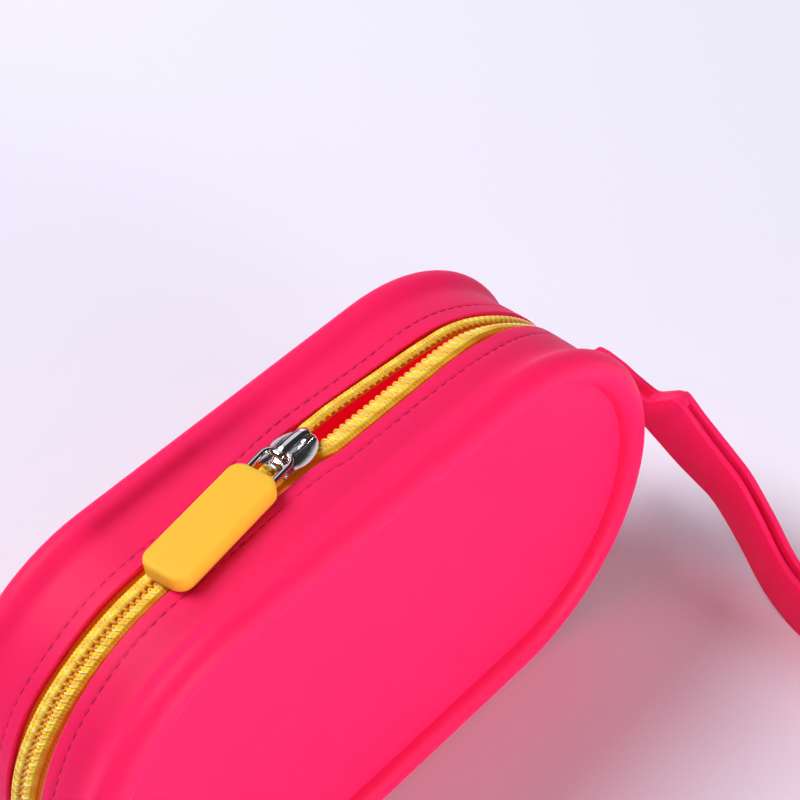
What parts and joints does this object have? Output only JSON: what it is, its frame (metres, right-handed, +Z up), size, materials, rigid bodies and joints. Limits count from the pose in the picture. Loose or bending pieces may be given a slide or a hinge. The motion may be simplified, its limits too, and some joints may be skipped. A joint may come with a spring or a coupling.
{
  "type": "silicone makeup bag",
  "caption": "Pill-shaped moulded silicone pouch with a coil zip over its top, a slider with a moulded grip, and a wrist strap looped through a tab on one end",
  "frame": {"origin": "middle of the pouch's underside, on the surface that it stands on", "axes": "+X along the bag towards the end with the wrist strap, -Y towards the near face, +Z up through the zip"},
  "size_m": [0.1988, 0.1779, 0.1009],
  "materials": {
    "silicone": "matt moulded silicone",
    "grip_silicone": "matt moulded silicone",
    "nylon": "smooth nylon coil",
    "tape": "woven polyester tape",
    "metal": "bright plated casting"
  },
  "bodies": {
    "bag": {"pouch_shell": "silicone", "near_tape": "tape", "far_tape": "tape", "near_coil": "nylon", "far_coil": "nylon", "bottom_stop": "metal", "near_top_stop": "metal", "far_top_stop": "metal"},
    "slider": {"slider_body": "metal"},
    "puller": {"pull_link": "metal", "pull_grip": "grip_silicone"},
    "strap": {"wrist_strap": "silicone"}
  },
  "joints": [
    {"name": "slider_slide", "type": "slide", "parent": "bag", "child": "slider", "axis": [0.9986, 0.0523, 0], "range_m": [-0.029, 0.031], "deforming": ["near_coil", "far_coil", "near_tape", "far_tape"]},
    {"name": "puller_hinge", "type": "hinge", "parent": "slider", "child": "puller", "pos_m": [-0.00175, 0.00121, 0.09855], "axis": [-0.1392, 0.9903, 0], "range_deg": [0, 172]},
    {"name": "strap_hinge", "type": "hinge", "parent": "bag", "child": "strap", "pos_m": [0.1028, 0, 0.045], "axis": [0, 0, 1], "range_deg": [-10, 190]}
  ]
}
